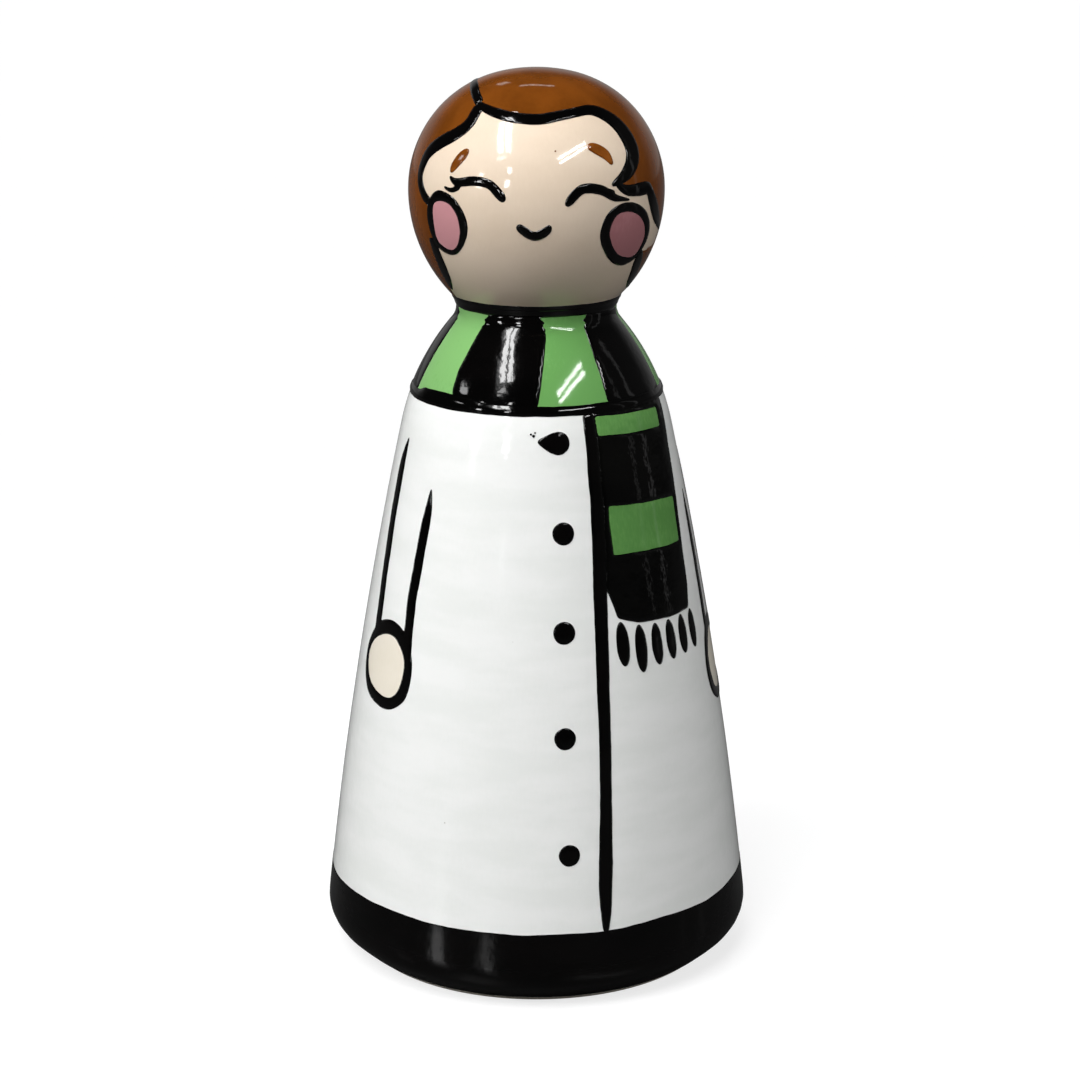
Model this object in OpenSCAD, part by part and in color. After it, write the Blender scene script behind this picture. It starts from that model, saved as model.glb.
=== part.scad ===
// Peg doll in glazed earthenware: one hollow slip casting and the areas of glaze brushed onto it.
// Millimetres. The bare foot stands on z = 0, the doll turns about Z and the face looks along -Y.

/* [Overall size] */
// Height from the foot to the top of the head
height = 180; // [150:1:230]
// Width of the head at its widest
head_d = 50.6; // [44:0.2:58]
// Width of the neck at its narrowest
neck_d = 32; // [26:0.2:36]
// Width of the body where the shoulders begin
shoulder_d = 56.8; // [48:0.2:66]
// Width of the base at its widest
base_d = 88; // [76:0.5:104]

/* [Casting] */
// Thickness of the cast clay wall
wall = 4.4; // [3.4:0.1:5.2]
// Thickness of the floor
floor_t = 5; // [4:0.1:7]
// Width of the pour and vent hole in the floor
vent_d = 18; // [12:0.5:24]
// Height of the widest part of the base above the table
edge_z = 8.2; // [7.2:0.2:10]
// How far the foot stands in from the widest part
foot_inset = 6.1; // [4.5:0.1:8]
// Radius of the hollow round the neck
neck_fillet = 3.8; // [2.6:0.1:5]

/* [Glaze] */
// Thickness of the coloured coats that cover the clay
glaze = 0.4; // [0.3:0.05:0.6]
// Height of the brushed lines and spots above those coats
line_t = 0.3; // [0.2:0.05:0.5]
// Height of the bare clay left round the foot
bare_h = 1.2; // [0.6:0.1:2]
// Height of the black hem above the table
hem_h = 16.4; // [12:0.2:24]
// Height of the scarf round the neck
scarf_h = 18.5; // [14:0.1:22]
// Width of the black line along the top of the scarf
scarf_top_w = 1.3; // [0.8:0.1:2]
// Width of the black line along the bottom of the scarf
scarf_low_w = 1.9; // [1:0.1:3]
// Width of a coat button
button_d = 4.4; // [3:0.1:6]
// Width of a fringe strand
strand_w = 2.8; // [1.4:0.1:3]

/* [Hidden] */
$fn = 120;

// Colours of the clay and the glazes
clay_c = [0.86, 0.83, 0.77];
white_c = [0.93, 0.93, 0.92];
black_c = [0.05, 0.05, 0.05];
skin_c = [0.95, 0.86, 0.76];
brown_c = [0.45, 0.24, 0.08];
green_c = [0.38, 0.66, 0.34];
pink_c = [0.74, 0.50, 0.54];

// Proportions of the turned outline
head_r = head_d / 2;
base_r = base_d / 2;
crown_r = 0.65 * head_d;
temple_r = 0.456 * head_d;
temple_a = 40;
cheek_r = 0.464 * head_d;
jaw_r = 0.585 * head_d;
shoulder_r = 0.54 * base_d;
side_r = 1000;
side_fn = 2400;
edge_r = 0.75 * edge_z;
foot_r = base_r - foot_inset;

// Small overlap that joins an arc to its chord, and spare length of a cut past what it cuts
lap = 0.002;
over = 10;

// Centres of the arcs of the outline, from the base up; a hollow arc has a minus radius
temple_c = [head_r - cheek_r, 0] + (cheek_r - temple_r) * [cos(temple_a), sin(temple_a)];
head_z = height - crown_r + sqrt(pow(crown_r - temple_r, 2) - pow(temple_c.x, 2)) - temple_c.y;
jaw_x = head_r - jaw_r;
neck_x = neck_d / 2 + neck_fillet;
neck_z = head_z - sqrt(pow(jaw_r + neck_fillet, 2) - pow(neck_x - jaw_x, 2));
shoulder_x = shoulder_d / 2 - shoulder_r;
shoulder_z = neck_z - sqrt(pow(shoulder_r + neck_fillet, 2) - pow(neck_x - shoulder_x, 2));
shoulder_c = [shoulder_x, shoulder_z];
edge_c = [base_r - edge_r, edge_z];
side_c = meet(shoulder_c, side_r - shoulder_r, edge_c, side_r - edge_r);
arcs = [[edge_c, edge_r], [side_c, side_r], [shoulder_c, shoulder_r], [[neck_x, neck_z], -neck_fillet],
    [[jaw_x, head_z], jaw_r], [[head_r - cheek_r, head_z], cheek_r], [[0, head_z] + temple_c, temple_r],
    [[0, height - crown_r], crown_r]];

// Slope of the bevel that runs from the foot to the rounded edge
to_edge = edge_c - [foot_r, 0];
bevel_a = atan2(to_edge.y, to_edge.x) - asin(min(0.98, edge_r / norm(to_edge)));

// Outward directions where the arcs meet
turns = concat([[sin(bevel_a), -cos(bevel_a)]],
    [for (i = [0 : len(arcs) - 2]) (arcs[i + 1][0] - arcs[i][0]) / (arcs[i][1] - arcs[i + 1][1])],
    [[0, 1]]);

// Levels of the painting, and the least radius left at the edge of the hollow
scarf_rise = 1.5;
scarf_top = neck_z + scarf_rise;
scarf_low = scarf_top - scarf_h;
hollow_edge_r = 0.3;
cavity_t = -min(wall + glaze, edge_r - hollow_edge_r);

// Sizes that the drawings below are made for, and the scales that fit them to this doll
drawn_head_d = 50.6;
drawn_shoulder_d = 56.8;
drawn_coat_h = 100;
drawn_scarf_h = 18.5;
head_k = head_d / drawn_head_d;
wide_k = shoulder_d / drawn_shoulder_d;
coat_k = (scarf_low - hem_h) / drawn_coat_h;
scarf_k = scarf_h / drawn_scarf_h;

// Bearings of the painting in degrees: 0 faces the front, plus turns to the right as the viewer sees it
stripe_az = [-19, 55, 127, 198, 270];
low_swell_az = -53;
face_az = [-33, 41];
hair_az = [-50, 10, 50, 68];
jaw_az = [-56, 66];
brow_az = [-37, 32];
eye_az = [-27, 28];
cheek_az = [-45, 46];
front_az = 21;
tail_az = 46;
fringe_az = 29;
fringe_step = 6.85;
button_az = [9, 9.8, 9, 8.4, 9];
left_arm_az = [-67, -46, -57];
right_arm_az = [95, 77.5, 84];

// Head drawings, millimetres from the widest level of the head: across, up and brush width
face_left = [[16, 15.4], [8, 16], [2.6, 16.8], [-1.2, 17.4], [-2.2, 14.8], [-4.2, 12.6], [-10.6, 9],
    [-12.8, 5.6], [-13, 2.8], [-9.6, -1], [-9.8, -5], [-9, -12], [-9.6, -18.4], [-11, -24], [16, -24]];
face_right = [[-18, 15.6], [-10.6, 16], [-5.6, 16.8], [-1.8, 17], [3.2, 14], [4.6, 11], [3.8, 8],
    [-1, 3.8], [0.6, 2], [3.4, 1.2], [7.2, 1.2], [14.8, -6.8], [15.9, -8.4], [15.4, -9.6], [12.8, -10.4],
    [7.6, -10.6], [7, -12], [7.8, -15], [11, -19], [12, -25], [-18, -25]];
hair_left = [[-1, -1, 1.6], [-4, 0.5, 2], [-6.2, 4, 2.2], [-4.2, 9, 2.8], [2, 12.6, 2.6], [4, 15, 2.6],
    [3.2, 18, 2]];
hair_right = [[-13.4, 18, 1.2], [-10, 16.6, 1.8], [-3.4, 15.8, 1.8], [4, 16.8, 1.6], [8.4, 17, 1.8],
    [13, 14.2, 2.4], [15.6, 9.6, 3], [14.4, 5.8, 2.8], [10.6, 3.4, 0.6]];
hair_edge = [[-5.4, 3.4, 1], [-2.6, 2.2, 2], [2.4, 2, 2.4], [4.6, 2, 1.6]];
ear_edge = [[-4.4, 2.6, 1.6], [-3, 0, 2.8], [0, -3.6, 3], [5, -7.4, 0.6]];
jaw_left = [[-0.2, -8, 2], [0, -11, 2.6], [-0.4, -15, 2.8], [-2.2, -18.6, 0.8]];
jaw_right = [[-2.2, -10.6, 1], [-2, -12.4, 3], [0, -16, 3], [3, -19, 0.6]];
brow_left = [[1.4, 10, 0.7], [0.5, 9, 1.8], [-1.2, 6.9, 1.4], [-1.9, 5.6, 0.4]];
brow_right = [[-2.7, 10.8, 0.9], [-1.4, 10.5, 1.7], [0.7, 9.2, 1.8], [1.8, 7.3, 0.6]];
eye_left = [[-6.4, 5, 0.3], [-4.6, 3.9, 1.4], [-0.6, 4.4, 1.7], [2.6, 3.9, 1.6], [5.2, 1.7, 1.6],
    [5.8, 0.8, 0.7]];
lash_left = [[-7.6, 2.9, 0.3], [-6.2, 2.4, 0.7], [-5, 2.5, 0.9], [-3.8, 3.2, 1.2]];
eye_right = [[-6.6, 0, 0.6], [-6, 1, 1.6], [-3.4, 3.1, 1.7], [0.6, 2.7, 1.7], [3.6, 1, 1.3],
    [7.4, 0.4, 0.3]];
lash_right = [[0.8, 2.6, 0.8], [2.4, 2.4, 0.8], [3.7, 2.1, 0.3]];
mouth_line = [[-3.6, -3.6, 0.9], [-2.8, -4.4, 1.5], [-0.5, -5.8, 1.6], [1.8, -4.8, 1.5], [2.6, -3.6, 0.8]];
cheek_left = [[-2.6, -0.5], [1.2, 0], [3.4, -2], [4.1, -5], [3, -8.2], [0.6, -9.7], [-2.8, -8.2],
    [-3.3, -4.4]];
ring_left = [[-4, -0.2], [-1.2, 1.9], [3, 0.8], [5.5, -2.6], [5.4, -6], [3, -9.4], [0, -10.5],
    [-3.8, -8.8], [-5.2, -4]];
cheek_right = [[-4, -2.4], [0, -2], [3.8, -4], [5.6, -7.4], [4.6, -10.6], [2, -11.6], [-2.4, -10],
    [-5.2, -6]];
ring_right = [[-6, -2], [-1.4, -0.2], [3.4, -1.6], [6.6, -5], [7, -8.6], [4.4, -11.8], [0.4, -12.8],
    [-4, -10.8], [-7, -6.4]];

// Parting as seen from above, from the front of the hair to the back: across, back and brush width
parting = [[-11, -13.2, 1.4], [-11.8, -9, 1.5], [-12.3, -3, 1.4], [-12, 4, 1], [-11.4, 9, 0.3]];

// Scarf drawings, millimetres from the bottom of the scarf: across and up
stripe_bowed = [[-9.4, 1], [-9.4, 4], [-8.9, 7], [-7.6, 10], [-6.5, 13], [-5.5, 15.5], [-4.8, 18],
    [5.8, 18], [6.7, 15.5], [7.3, 13.5], [7.9, 9.5], [8.1, 6], [8.1, 1]];
stripe_leaning = [[-8.9, 1], [-8.1, 6], [-7.5, 9.5], [-6.6, 12.5], [-5.6, 15.5], [-5, 18], [6.4, 18],
    [6.9, 15], [7.7, 9.5], [8.3, 6], [9.3, 1]];
stripe_narrow = [[-7.7, 1], [-7.1, 7], [-6.1, 11.5], [-5, 15], [-4.8, 18], [4.8, 18], [5, 15], [6.1, 11.5],
    [7.1, 7], [7.7, 1]];
stripes = [stripe_bowed, stripe_leaning, stripe_bowed, stripe_leaning, stripe_narrow];
low_swell = [[-7.6, -1], [-7.6, 1.7], [-6, 2.2], [-4.5, 2.7], [-0.5, 2.85], [5, 2.85], [9.5, 2.4],
    [13.5, 1.5], [13.5, -1]];

// Coat drawings, 0 at the hem and 100 at the scarf: across, up and brush width
front_line = [[0.8, 102, 2.2], [1.2, 84, 2.6], [0.6, 65, 2.6], [0, 46, 2.3], [-0.6, 27, 2.2],
    [-1.6, 8, 2.5], [-1.8, -0.6, 0.8]];
tail_edge = [[-10, 102], [11.6, 102], [11.2, 84], [10.6, 70], [10.6, 63], [9.8, 58.9], [2.6, 58.8],
    [-6, 59.4], [-10.6, 61], [-11.6, 65], [-12.8, 69], [-11.4, 84]];
tail_bar_1 = [[-8.9, 99.6], [8.5, 98.9], [8.4, 95], [-9.2, 95.8]];
tail_bar_2 = [[-9.4, 82.5], [9.6, 81.2], [9.5, 72.2], [-9.8, 73]];
fringe_v = [60.2, 59, 58.6, 58.4, 58.5, 58.6];
fringe_l = [8.8, 9.4, 8.4, 8, 8, 8];
button_v = [95, 78, 59.1, 38.7, 15.7];
smear = [[-4.1, 0.4, 0.6], [-2.8, 0.3, 2.2], [-1.2, 0.1, 4]];
sleeve_outer = [[0.4, 92.6, 0.4], [-0.6, 87, 2.8], [-0.6, 76.8, 3], [0, 68.6, 2.8], [0.9, 54.5, 2.6],
    [0.9, 49, 2]];
sleeve_inner = [[0.8, 84.6, 0.3], [0.7, 80, 2.1], [0.2, 73, 2.5], [-0.5, 61, 2.6], [-0.1, 52, 2.5],
    [-0.1, 48, 2]];
cuff_outer = [[0.4, 89, 0.4], [0.2, 80, 3], [0.2, 68, 3], [-0.8, 52, 2.6], [-0.8, 46, 2]];
cuff_inner = [[0.3, 81, 0.4], [0.2, 74, 2.2], [0, 66, 2.4], [-0.4, 51, 2.4], [-0.4, 46, 2]];
hand_in = [[-1.2, 54], [2.4, 54], [5.6, 51.4], [6.5, 48], [5.4, 43.8], [2.6, 42], [-2, 42.2], [-6.2, 44.2],
    [-7.8, 48.2], [-5.8, 51.6]];
hand_out = [[-2.6, 56.6], [2.4, 57], [6.6, 54.4], [8.8, 49], [8.2, 43.4], [5, 40.4], [0.4, 39.4],
    [-5.6, 40.8], [-8.8, 44.6], [-9.2, 49.4], [-6.6, 53.8]];
right_hand_drop = 3;

// Crossing of two circles, on the side of the axis
function meet(a, ra, b, rb) =
    let (d = b - a, l = norm(d), x = (l * l + ra * ra - rb * rb) / (2 * l), h = sqrt(ra * ra - x * x))
    a + d * x / l - h * [-d.y, d.x] / l;

// Meeting point of two arcs of the outline, moved outward by t
function corner(i, t) = let (a = arcs[min(i, len(arcs) - 1)]) a[0] + (a[1] + t) * turns[i];

// Foot of the outline, moved outward by t, at level z
function foot_at(t, z) =
    let (p = [foot_r, 0] + t * turns[0], d = [cos(bevel_a), sin(bevel_a)]) [p.x + (z - p.y) * d.x / d.y, z];

// Sliver between an arc of the outline and its chord
module arc_sliver(i, t) {
    a = corner(i, t);
    b = corner(i + 1, t);
    r = abs(arcs[i][1] + t);
    side = arcs[i][1] > 0 ? 0.5 : -0.5;
    out = side * [(b - a).y, -(b - a).x];
    intersection() {
        translate(arcs[i][0]) circle(r, $fn = i == 1 ? side_fn : $fn);
        polygon([a - lap * out, a + out, b + out, b - lap * out]);
        square([base_d, height + over]);
    }
}

// Half section of the doll, moved outward by t, from level z up
module outline(t, z) {
    difference() {
        union() {
            polygon(concat([[0, z], foot_at(t, z)], [for (i = [0 : len(arcs)]) corner(i, t)]));
            for (i = [0 : len(arcs) - 1]) if (arcs[i][1] > 0) arc_sliver(i, t);
        }
        for (i = [0 : len(arcs) - 1]) if (arcs[i][1] < 0) arc_sliver(i, t);
    }
}

// Half section of a coat from t0 to t1 outward, between two levels
module coat_section(t0, t1, low, high) {
    intersection() {
        difference() {
            outline(t1, 0);
            outline(t0, 0);
        }
        translate([0, low]) square([base_d, high - low]);
    }
}

// Coloured coat all round between two levels
module base_coat(low, high) {
    rotate_extrude() coat_section(-glaze, 0, low, high);
}

// Part of the raised layer on the head or on the coat that a brush drawing covers
module on_head() {
    intersection() {
        rotate_extrude() coat_section(0, line_t, scarf_top, height + over);
        children();
    }
}
module on_coat() {
    intersection() {
        rotate_extrude() coat_section(0, line_t, hem_h, scarf_low);
        children();
    }
}

// Drawing carried straight out from the axis at a compass bearing and a level
module facing(az, z = 0) {
    rotate([0, 0, az]) translate([0, 0, z]) rotate([90, 0, 0]) linear_extrude(base_r + over) children();
}

// Smooth curve through a list of points, at place s along the list
function along(p, s) =
    let (n = len(p), i = min(floor(s), n - 2), f = s - i,
         a = p[max(i - 1, 0)], b = p[i], c = p[i + 1], d = p[min(i + 2, n - 1)])
    b + f / 2 * (c - a + f * (2 * a - 5 * b + 4 * c - d + f * (3 * b - a - 3 * c + d)));

// One side of a brush stroke
function bank(p, side) =
    let (m = len(p) - 1)
    [for (k = [0 : 4 * m])
        let (s = k / 4, q = along(p, s), e = along(p, min(s + 0.05, m)) - along(p, max(s - 0.05, 0)))
        [q.x, q.y] + side * q.z / 2 * [-e.y, e.x] / norm([e.x, e.y])];

// Brush stroke that swells and tapers along its points
module stroke(p) {
    right = bank(p, -1);
    polygon(concat(bank(p, 1), [for (k = [len(right) - 1 : -1 : 0]) right[k]]));
}

// Closed smooth patch through its points
module patch(p) {
    n = len(p);
    ring = concat([p[n - 1]], p, [p[0], p[1]]);
    polygon([for (k = [0 : 4 * n - 1]) along(ring, 1 + k / 4)]);
}

// Drawings sized to the head, the scarf and the coat
function for_head(p) = head_k * p;
function for_scarf(p) = [for (q = p) [q.x * wide_k, scarf_low + q.y * scarf_k]];
function coat_z(v) = hem_h + v * coat_k;
function for_coat(p, drop = 0) = [for (q = p) [q.x * wide_k, coat_z(q.y - drop), len(q) > 2 ? q.z : 0]];
function flat(p) = [for (q = p) [q.x, q.y]];
function mirrored(p) = [for (q = p) [-q.x, q.y]];

// Outward prisms that more than one node uses
module face_prism() {
    facing(face_az[0], head_z) polygon(for_head(face_left));
    facing(face_az[1], head_z) polygon(for_head(face_right));
}
module hairline_prism() {
    facing(hair_az[0], head_z) stroke(for_head(hair_left));
    facing(hair_az[1], head_z) stroke(for_head(hair_right));
    facing(hair_az[2], head_z) stroke(for_head(hair_edge));
    facing(hair_az[3], head_z) stroke(for_head(ear_edge));
}
module left_ring_prism() {
    facing(cheek_az[0], head_z) patch(for_head(ring_left));
}
module right_ring_prism() {
    facing(cheek_az[1], head_z) patch(for_head(ring_right));
}
module low_swell_prism() {
    facing(low_swell_az) polygon(for_scarf(low_swell));
}
module front_line_prism() {
    facing(front_az) stroke(for_coat(front_line));
}

// Clay casting: hollow, with a floor and a pour hole
module bisque_body() {
    color(clay_c) difference() {
        rotate_extrude() difference() {
            outline(-glaze, 0);
            outline(cavity_t, floor_t);
        }
        translate([0, 0, -over]) cylinder(d = vent_d, h = floor_t + 2 * over);
    }
}

// Coloured coats
module hem_band() {
    color(black_c) base_coat(bare_h, hem_h);
}
module coat() {
    color(white_c) base_coat(hem_h, scarf_low);
}
module scarf_wrap() {
    color(green_c) base_coat(scarf_low, scarf_top);
}
module face() {
    color(skin_c) intersection() {
        base_coat(scarf_top, height + over);
        face_prism();
    }
}
module hair() {
    color(brown_c) difference() {
        rotate([0, 0, -75]) base_coat(scarf_top, height + over);
        face_prism();
    }
}

// Black lines and stripes of the scarf
module scarf_top_line() {
    color(black_c) rotate_extrude() coat_section(0, line_t, scarf_top - scarf_top_w, scarf_top);
}
module scarf_low_line() {
    color(black_c) intersection() {
        rotate_extrude() coat_section(0, line_t, scarf_low, scarf_low + scarf_h / 3);
        union() {
            cylinder(r = base_r, h = scarf_low + scarf_low_w);
            low_swell_prism();
        }
    }
}
module scarf_stripe(i) {
    color(black_c) intersection() {
        rotate_extrude() coat_section(0, line_t, scarf_low + scarf_low_w, scarf_top - scarf_top_w);
        facing(stripe_az[i]) polygon(for_scarf(stripes[i]));
    }
}
module scarf_stripe_1() {
    difference() {
        scarf_stripe(0);
        low_swell_prism();
    }
}
module scarf_stripe_2() {
    scarf_stripe(1);
}
module scarf_stripe_3() {
    scarf_stripe(2);
}
module scarf_stripe_4() {
    scarf_stripe(3);
}
module scarf_stripe_5() {
    scarf_stripe(4);
}

// Hanging end of the scarf
module scarf_tail() {
    color(black_c) difference() {
        on_coat() facing(tail_az) difference() {
            polygon(flat(for_coat(tail_edge)));
            polygon(flat(for_coat(tail_bar_1)));
            polygon(flat(for_coat(tail_bar_2)));
        }
        front_line_prism();
    }
}
module scarf_tail_bar_1() {
    color(green_c) on_coat() facing(tail_az) polygon(flat(for_coat(tail_bar_1)));
}
module scarf_tail_bar_2() {
    color(green_c) on_coat() facing(tail_az) polygon(flat(for_coat(tail_bar_2)));
}
module fringe(i) {
    top = coat_z(fringe_v[i]);
    long = fringe_l[i];
    color(black_c) on_coat() facing(fringe_az + i * fringe_step)
        stroke([[-0.2, top, 0.5], [-0.1, top - 0.2 * long, 0.8 * strand_w], [0, top - 0.55 * long, strand_w],
            [0.1, top - 0.85 * long, 0.75 * strand_w], [0.2, top - long, 0.6]]);
}
module fringe_1() {
    fringe(0);
}
module fringe_2() {
    fringe(1);
}
module fringe_3() {
    fringe(2);
}
module fringe_4() {
    fringe(3);
}
module fringe_5() {
    fringe(4);
}
module fringe_6() {
    fringe(5);
}

// Front edge and buttons of the coat
module coat_front_line() {
    color(black_c) on_coat() front_line_prism();
}
module button(i) {
    z = coat_z(button_v[i]);
    color(black_c) on_coat() {
        union() {
            facing(button_az[i], z) circle(d = button_d);
            if (i == 0) facing(button_az[i], z) stroke(smear);
        }
    }
}
module button_1() {
    button(0);
}
module button_2() {
    button(1);
}
module button_3() {
    button(2);
}
module button_4() {
    button(3);
}
module button_5() {
    button(4);
}

// Arms: two sleeve lines that run into the ring round the hand
module left_arm_line() {
    color(black_c) difference() {
        on_coat() {
            union() {
                facing(left_arm_az[0]) stroke(for_coat(sleeve_outer));
                facing(left_arm_az[1]) stroke(for_coat(sleeve_inner));
                facing(left_arm_az[2]) patch(flat(for_coat(hand_out)));
            }
        }
        facing(left_arm_az[2]) patch(flat(for_coat(hand_in)));
    }
}
module left_hand() {
    color(skin_c) on_coat() facing(left_arm_az[2]) patch(flat(for_coat(hand_in)));
}
module right_arm_line() {
    color(black_c) difference() {
        on_coat() {
            union() {
                facing(right_arm_az[0]) stroke(for_coat(cuff_outer));
                facing(right_arm_az[1]) stroke(for_coat(cuff_inner));
                facing(right_arm_az[2]) patch(mirrored(for_coat(hand_out, right_hand_drop)));
            }
        }
        facing(right_arm_az[2]) patch(mirrored(for_coat(hand_in, right_hand_drop)));
    }
}
module right_hand() {
    color(skin_c) on_coat() facing(right_arm_az[2]) patch(mirrored(for_coat(hand_in, right_hand_drop)));
}

// Lines of the hair
module hairline() {
    color(black_c) difference() {
        on_head() {
            union() {
                hairline_prism();
            }
        }
        left_ring_prism();
    }
}
module hair_parting() {
    color(black_c) difference() {
        on_head() translate([0, 0, head_z]) linear_extrude(height) stroke(for_head(parting));
        hairline_prism();
    }
}
module left_jaw_line() {
    color(black_c) difference() {
        on_head() facing(jaw_az[0], head_z) stroke(for_head(jaw_left));
        left_ring_prism();
    }
}
module right_jaw_line() {
    color(black_c) difference() {
        on_head() facing(jaw_az[1], head_z) stroke(for_head(jaw_right));
        right_ring_prism();
    }
}

// Features of the face
module left_brow() {
    color(brown_c) on_head() facing(brow_az[0], head_z) stroke(for_head(brow_left));
}
module right_brow() {
    color(brown_c) on_head() facing(brow_az[1], head_z) stroke(for_head(brow_right));
}
module left_eye() {
    color(black_c) on_head() facing(eye_az[0], head_z) {
        stroke(for_head(eye_left));
        stroke(for_head(lash_left));
    }
}
module right_eye() {
    color(black_c) on_head() facing(eye_az[1], head_z) {
        stroke(for_head(eye_right));
        stroke(for_head(lash_right));
    }
}
module mouth() {
    color(black_c) on_head() facing(0, head_z) stroke(for_head(mouth_line));
}
module left_cheek() {
    color(pink_c) on_head() facing(cheek_az[0], head_z) patch(for_head(cheek_left));
}
module left_cheek_ring() {
    color(black_c) on_head() facing(cheek_az[0], head_z) difference() {
        patch(for_head(ring_left));
        patch(for_head(cheek_left));
    }
}
module right_cheek() {
    color(pink_c) on_head() facing(cheek_az[1], head_z) patch(for_head(cheek_right));
}
module right_cheek_ring() {
    color(black_c) on_head() facing(cheek_az[1], head_z) difference() {
        patch(for_head(ring_right));
        patch(for_head(cheek_right));
    }
}

bisque_body();
hem_band();
coat();
scarf_wrap();
face();
hair();
scarf_top_line();
scarf_low_line();
scarf_stripe_1();
scarf_stripe_2();
scarf_stripe_3();
scarf_stripe_4();
scarf_stripe_5();
scarf_tail();
scarf_tail_bar_1();
scarf_tail_bar_2();
fringe_1();
fringe_2();
fringe_3();
fringe_4();
fringe_5();
fringe_6();
coat_front_line();
button_1();
button_2();
button_3();
button_4();
button_5();
left_arm_line();
left_hand();
right_arm_line();
right_hand();
hairline();
hair_parting();
left_jaw_line();
right_jaw_line();
left_brow();
right_brow();
left_eye();
right_eye();
mouth();
left_cheek();
left_cheek_ring();
right_cheek();
right_cheek_ring();
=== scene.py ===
"""Looks of a glazed earthenware peg doll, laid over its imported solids. Sizes are in millimetres."""
import cmath
import math

import bpy
import numpy as np
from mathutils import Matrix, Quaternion, Vector, noise
from mathutils.geometry import delaunay_2d_cdt
from mathutils.kdtree import KDTree


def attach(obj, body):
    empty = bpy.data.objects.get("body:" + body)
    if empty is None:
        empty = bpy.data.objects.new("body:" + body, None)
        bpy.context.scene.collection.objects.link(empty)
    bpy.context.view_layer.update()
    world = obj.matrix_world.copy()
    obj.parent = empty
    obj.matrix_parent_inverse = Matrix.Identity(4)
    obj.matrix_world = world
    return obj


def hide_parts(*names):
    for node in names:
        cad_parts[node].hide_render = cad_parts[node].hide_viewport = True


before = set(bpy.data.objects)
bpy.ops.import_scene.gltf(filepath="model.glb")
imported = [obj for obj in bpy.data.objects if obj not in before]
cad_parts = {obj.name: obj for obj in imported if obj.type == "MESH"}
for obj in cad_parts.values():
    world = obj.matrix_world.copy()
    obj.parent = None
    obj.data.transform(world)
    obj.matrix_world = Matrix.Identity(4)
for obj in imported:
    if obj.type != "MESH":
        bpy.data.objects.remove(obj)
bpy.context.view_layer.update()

MM = 0.001

# Turned outline of the doll, the same sizes as its solids
HEIGHT = 180
HEAD_D = 50.6
NECK_D = 32
SHOULDER_D = 56.8
BASE_D = 88
EDGE_Z = 8.2
FOOT_INSET = 6.1
NECK_FILLET = 3.8
SIDE_R = 1000
TEMPLE_TURN = math.radians(40)
WALL = 4.4
FLOOR_T = 5
VENT_D = 18
VENT_CHAMFER = 0.5
GLAZE = 0.4

# Radii of the outline's arcs, as shares of the head's and the base's width and of the edge's height
CROWN_SHARE = 0.65
TEMPLE_SHARE = 0.456
CHEEK_SHARE = 0.464
JAW_SHARE = 0.585
SHOULDER_SHARE = 0.54
EDGE_SHARE = 0.75

# How finely the outline and the glaze are meshed
OUTLINE_STEP = 0.05
BEVEL_POINTS = 100
ARC_POINTS = 20
FIND_ROUNDS = 8
INNER_EVERY = 40
OUTER_EVERY = 24
EDGE_STEP = 0.3
EDGE_POINTS = 24
EDGE_CLEAR = 0.45
EVENING_ROUNDS = 3
ROW_SHARE = 0.87
TIP_SHARE = 0.2
COLUMNS = 300
BEAD_ROWS = np.array([0, 0.08, 0.25, 0.5, 1.0])

# How a solid's outer face is told from its other faces
WELD = 0.004
OUTER_SHARE = 0.5
OUTER_FACING = 0.7
SHORT_LOOP = 8

# Hand and kiln: each pair is a reach, or a share of the height, and the size of its lumps
SHAKE = ((0.14, 5.0), (0.05, 1.6))
SHAKE_SEED = 4
BROAD_DIP = (0.035, 16)
FINE_DIP = (0.012, 5)
FINE_DIP_SHIFT = 40
POOLING = (0.16, 6)
POOLING_SHIFT = 90
WAVE_SIZE = 18
SUNK = 0.1

# A drop of glaze: the share of its radius and the lift of each ring
DROP_RINGS = ((0.3, 0.08), (0.75, 0.05), (1, -0.03))
DROP_SIDES = 16

# Drops beside the top button and a speck on the forehead: bearing in degrees, height and radius
BUTTON_DROPS = ((-2.3, 113, 0.22), (-1.2, 112.7, 0.3), (-0.6, 113.3, 0.18))
FACE_SPECK = (8.8, 166.5, 0.16)

# Marks in the glazes: their sizes, and the ranges over which they come in
MARK_RANGE = (0.3, 0.7)
MARK_DETAIL = 3.0
STREAK_SIZE = 0.5
STREAK_STRETCH = (1, 1, 4)
LEAN_RANGE = (-16, 8)
SPECK_APART = 4.5
SPECK_SHARE = 0.1
SPECK_EDGE = (0.03, 0.06)
SPECK_DEPTH = 0.7
RIPPLE_SIZE = 3.2
FINE_RIPPLE_SIZE = 1.1
FINE_RIPPLE_SHARE = 0.25
DULL_SIZE = 6
DULL_REACH = 0.04
GLAZE_IOR = 1.5

# Camera where the photograph was taken from
LENS = 82.38
SENSOR = 36
CAMERA_BACK = 486.97
CAMERA_UP = 221.92
CAMERA_PITCH = 0.27495
AXIS_SHIFT = 0.00325

# Lamps: how far they stand from a point on the doll's axis, and how high that point is
LAMP_AWAY = 1400
LAMP_AIM_UP = 110

# Room: how bright its parts are, and the ranges of direction over which they come in
ROOM_HIGH = (0.30, 0.302, 0.308, 1)
ROOM_LOW = 0.06
ROOM_DARK = 0.02
ROOM_RIGHT = 0.05
ROOM_WALL = 0.28
HORIZON = (-0.2, 0.1)
RIGHT_RANGE = (0.4, 1.0)
WALL_RANGE = (0.5, 0.9)
WALL_FOOT = (-0.3, 0.0)
WALL_TOP = (0.2, 0.5)

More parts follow.
